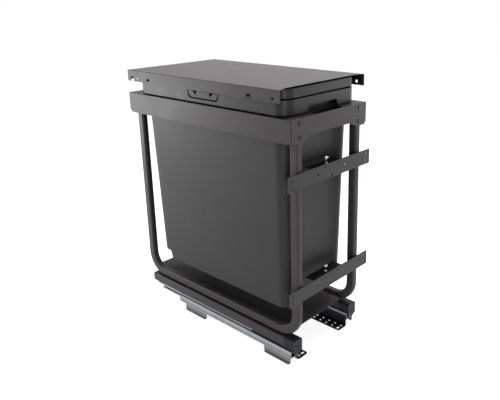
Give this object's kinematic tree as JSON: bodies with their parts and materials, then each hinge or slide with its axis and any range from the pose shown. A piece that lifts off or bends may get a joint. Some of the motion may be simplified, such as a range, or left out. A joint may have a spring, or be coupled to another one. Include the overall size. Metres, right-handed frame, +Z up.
{
  "type": "pull out bin frame",
  "caption": "Bottom-mounted pull-out frame for a narrow base cabinet: hanging waste bin in tube frames on telescopic runners, door bars and a fixed steel cover.",
  "frame": {"origin": "middle of the footprint on the cabinet floor, under the runners", "axes": "+Z up, -Y towards the door that the frame pulls out with, +X to the right seen from the door"},
  "size_m": [0.264, 0.5158, 0.5794],
  "materials": {
    "anthracite_steel": "anthracite powder coat, fine texture, satin",
    "black_steel": "black coated steel",
    "bin_grey": "moulded grey plastic, satin",
    "black_plastic": "moulded black plastic, matt",
    "zinc_steel": "galvanised steel strip",
    "zinc_screw": "bright zinc plated"
  },
  "bodies": {
    "cabinet_side": {"top_cover": "anthracite_steel", "floor_bracket_left": "black_steel", "fixed_rail_left": "zinc_steel", "soft_close_housing_left": "black_plastic", "damper_left": "zinc_steel", "floor_bracket_right": "black_steel", "fixed_rail_right": "zinc_steel", "soft_close_housing_right": "black_plastic", "damper_right": "zinc_steel"},
    "carriage": {"base_plate": "anthracite_steel", "tube_left": "anthracite_steel", "tube_right": "anthracite_steel", "support_ring": "anthracite_steel", "ring_screws_front": "black_steel", "ring_screws_rear": "black_steel", "cross_bracket_upper": "black_steel", "cross_bracket_lower": "black_steel", "bin": "bin_grey", "bin_rim": "bin_grey", "bag_ring": "bin_grey", "drawer_rail_left": "zinc_steel", "runner_cover_left": "anthracite_steel", "front_cap_left": "black_plastic", "rear_cap_left": "black_plastic", "catch_pin_left": "zinc_steel", "drawer_rail_right": "zinc_steel", "runner_cover_right": "anthracite_steel", "front_cap_right": "black_plastic", "rear_cap_right": "black_plastic", "catch_pin_right": "zinc_steel"},
    "middle_rail_left": {"middle_rail_left": "zinc_steel"},
    "lower_cage_left": {"lower_cage_left": "zinc_steel"},
    "upper_cage_left": {"upper_cage_left": "zinc_steel"},
    "catch_left": {"catch_left": "black_plastic"},
    "middle_rail_right": {"middle_rail_right": "zinc_steel"},
    "lower_cage_right": {"lower_cage_right": "zinc_steel"},
    "upper_cage_right": {"upper_cage_right": "zinc_steel"},
    "catch_right": {"catch_right": "black_plastic"},
    "door_bar_upper": {"door_bar_upper": "anthracite_steel"},
    "adjuster_upper": {"adjuster_upper": "zinc_screw"},
    "door_bar_lower": {"door_bar_lower": "anthracite_steel"},
    "adjuster_lower": {"adjuster_lower": "zinc_screw"},
    "handle_left": {"handle_left": "bin_grey"},
    "handle_right": {"handle_right": "bin_grey"}
  },
  "joints": [
    {"name": "pull_out", "type": "slide", "parent": "cabinet_side", "child": "carriage", "axis": [0, -1, 0], "range_m": [0, 0.45]},
    {"name": "middle_rail_travel_left", "type": "slide", "parent": "cabinet_side", "child": "middle_rail_left", "axis": [0, -1, 0], "range_m": [0, 0.225]},
    {"name": "lower_cage_travel_left", "type": "slide", "parent": "cabinet_side", "child": "lower_cage_left", "axis": [0, -1, 0], "range_m": [0, 0.1125]},
    {"name": "upper_cage_travel_left", "type": "slide", "parent": "cabinet_side", "child": "upper_cage_left", "axis": [0, -1, 0], "range_m": [0, 0.3375]},
    {"name": "soft_close_stroke_left", "type": "slide", "parent": "cabinet_side", "child": "catch_left", "axis": [0, -1, 0], "range_m": [0, 0.045]},
    {"name": "middle_rail_travel_right", "type": "slide", "parent": "cabinet_side", "child": "middle_rail_right", "axis": [0, -1, 0], "range_m": [0, 0.225]},
    {"name": "lower_cage_travel_right", "type": "slide", "parent": "cabinet_side", "child": "lower_cage_right", "axis": [0, -1, 0], "range_m": [0, 0.1125]},
    {"name": "upper_cage_travel_right", "type": "slide", "parent": "cabinet_side", "child": "upper_cage_right", "axis": [0, -1, 0], "range_m": [0, 0.3375]},
    {"name": "soft_close_stroke_right", "type": "slide", "parent": "cabinet_side", "child": "catch_right", "axis": [0, -1, 0], "range_m": [0, 0.045]},
    {"name": "bar_height_upper", "type": "slide", "parent": "carriage", "child": "door_bar_upper", "axis": [0, 0, 1], "range_m": [-0.003, 0.003]},
    {"name": "adjuster_turn_upper", "type": "hinge", "parent": "carriage", "child": "adjuster_upper", "pos_m": [0, -0.242, 0.404], "axis": [0, 0, 1], "range_deg": [-1350.1, 1350.1]},
    {"name": "bar_height_lower", "type": "slide", "parent": "carriage", "child": "door_bar_lower", "axis": [0, 0, 1], "range_m": [-0.003, 0.003]},
    {"name": "adjuster_turn_lower", "type": "hinge", "parent": "carriage", "child": "adjuster_lower", "pos_m": [0, -0.242, 0.164], "axis": [0, 0, 1], "range_deg": [-1350.1, 1350.1]},
    {"name": "handle_fold_left", "type": "hinge", "parent": "carriage", "child": "handle_left", "pos_m": [-0.11175, -0.005, 0.549], "axis": [0, 1, 0], "range_deg": [0, 85]},
    {"name": "handle_fold_right", "type": "hinge", "parent": "carriage", "child": "handle_right", "pos_m": [0.11175, -0.005, 0.549], "axis": [0, -1, 0], "range_deg": [0, 85]}
  ],
  "couplings": [
    {"joint": "middle_rail_travel_left", "follows": "pull_out", "ratio": 0.5},
    {"joint": "lower_cage_travel_left", "follows": "pull_out", "ratio": 0.25},
    {"joint": "upper_cage_travel_left", "follows": "pull_out", "ratio": 0.75},
    {"joint": "middle_rail_travel_right", "follows": "pull_out", "ratio": 0.5},
    {"joint": "lower_cage_travel_right", "follows": "pull_out", "ratio": 0.25},
    {"joint": "upper_cage_travel_right", "follows": "pull_out", "ratio": 0.75},
    {"joint": "adjuster_turn_upper", "follows": "bar_height_upper", "rad_per_m": -7854},
    {"joint": "adjuster_turn_lower", "follows": "bar_height_lower", "rad_per_m": -7854}
  ]
}
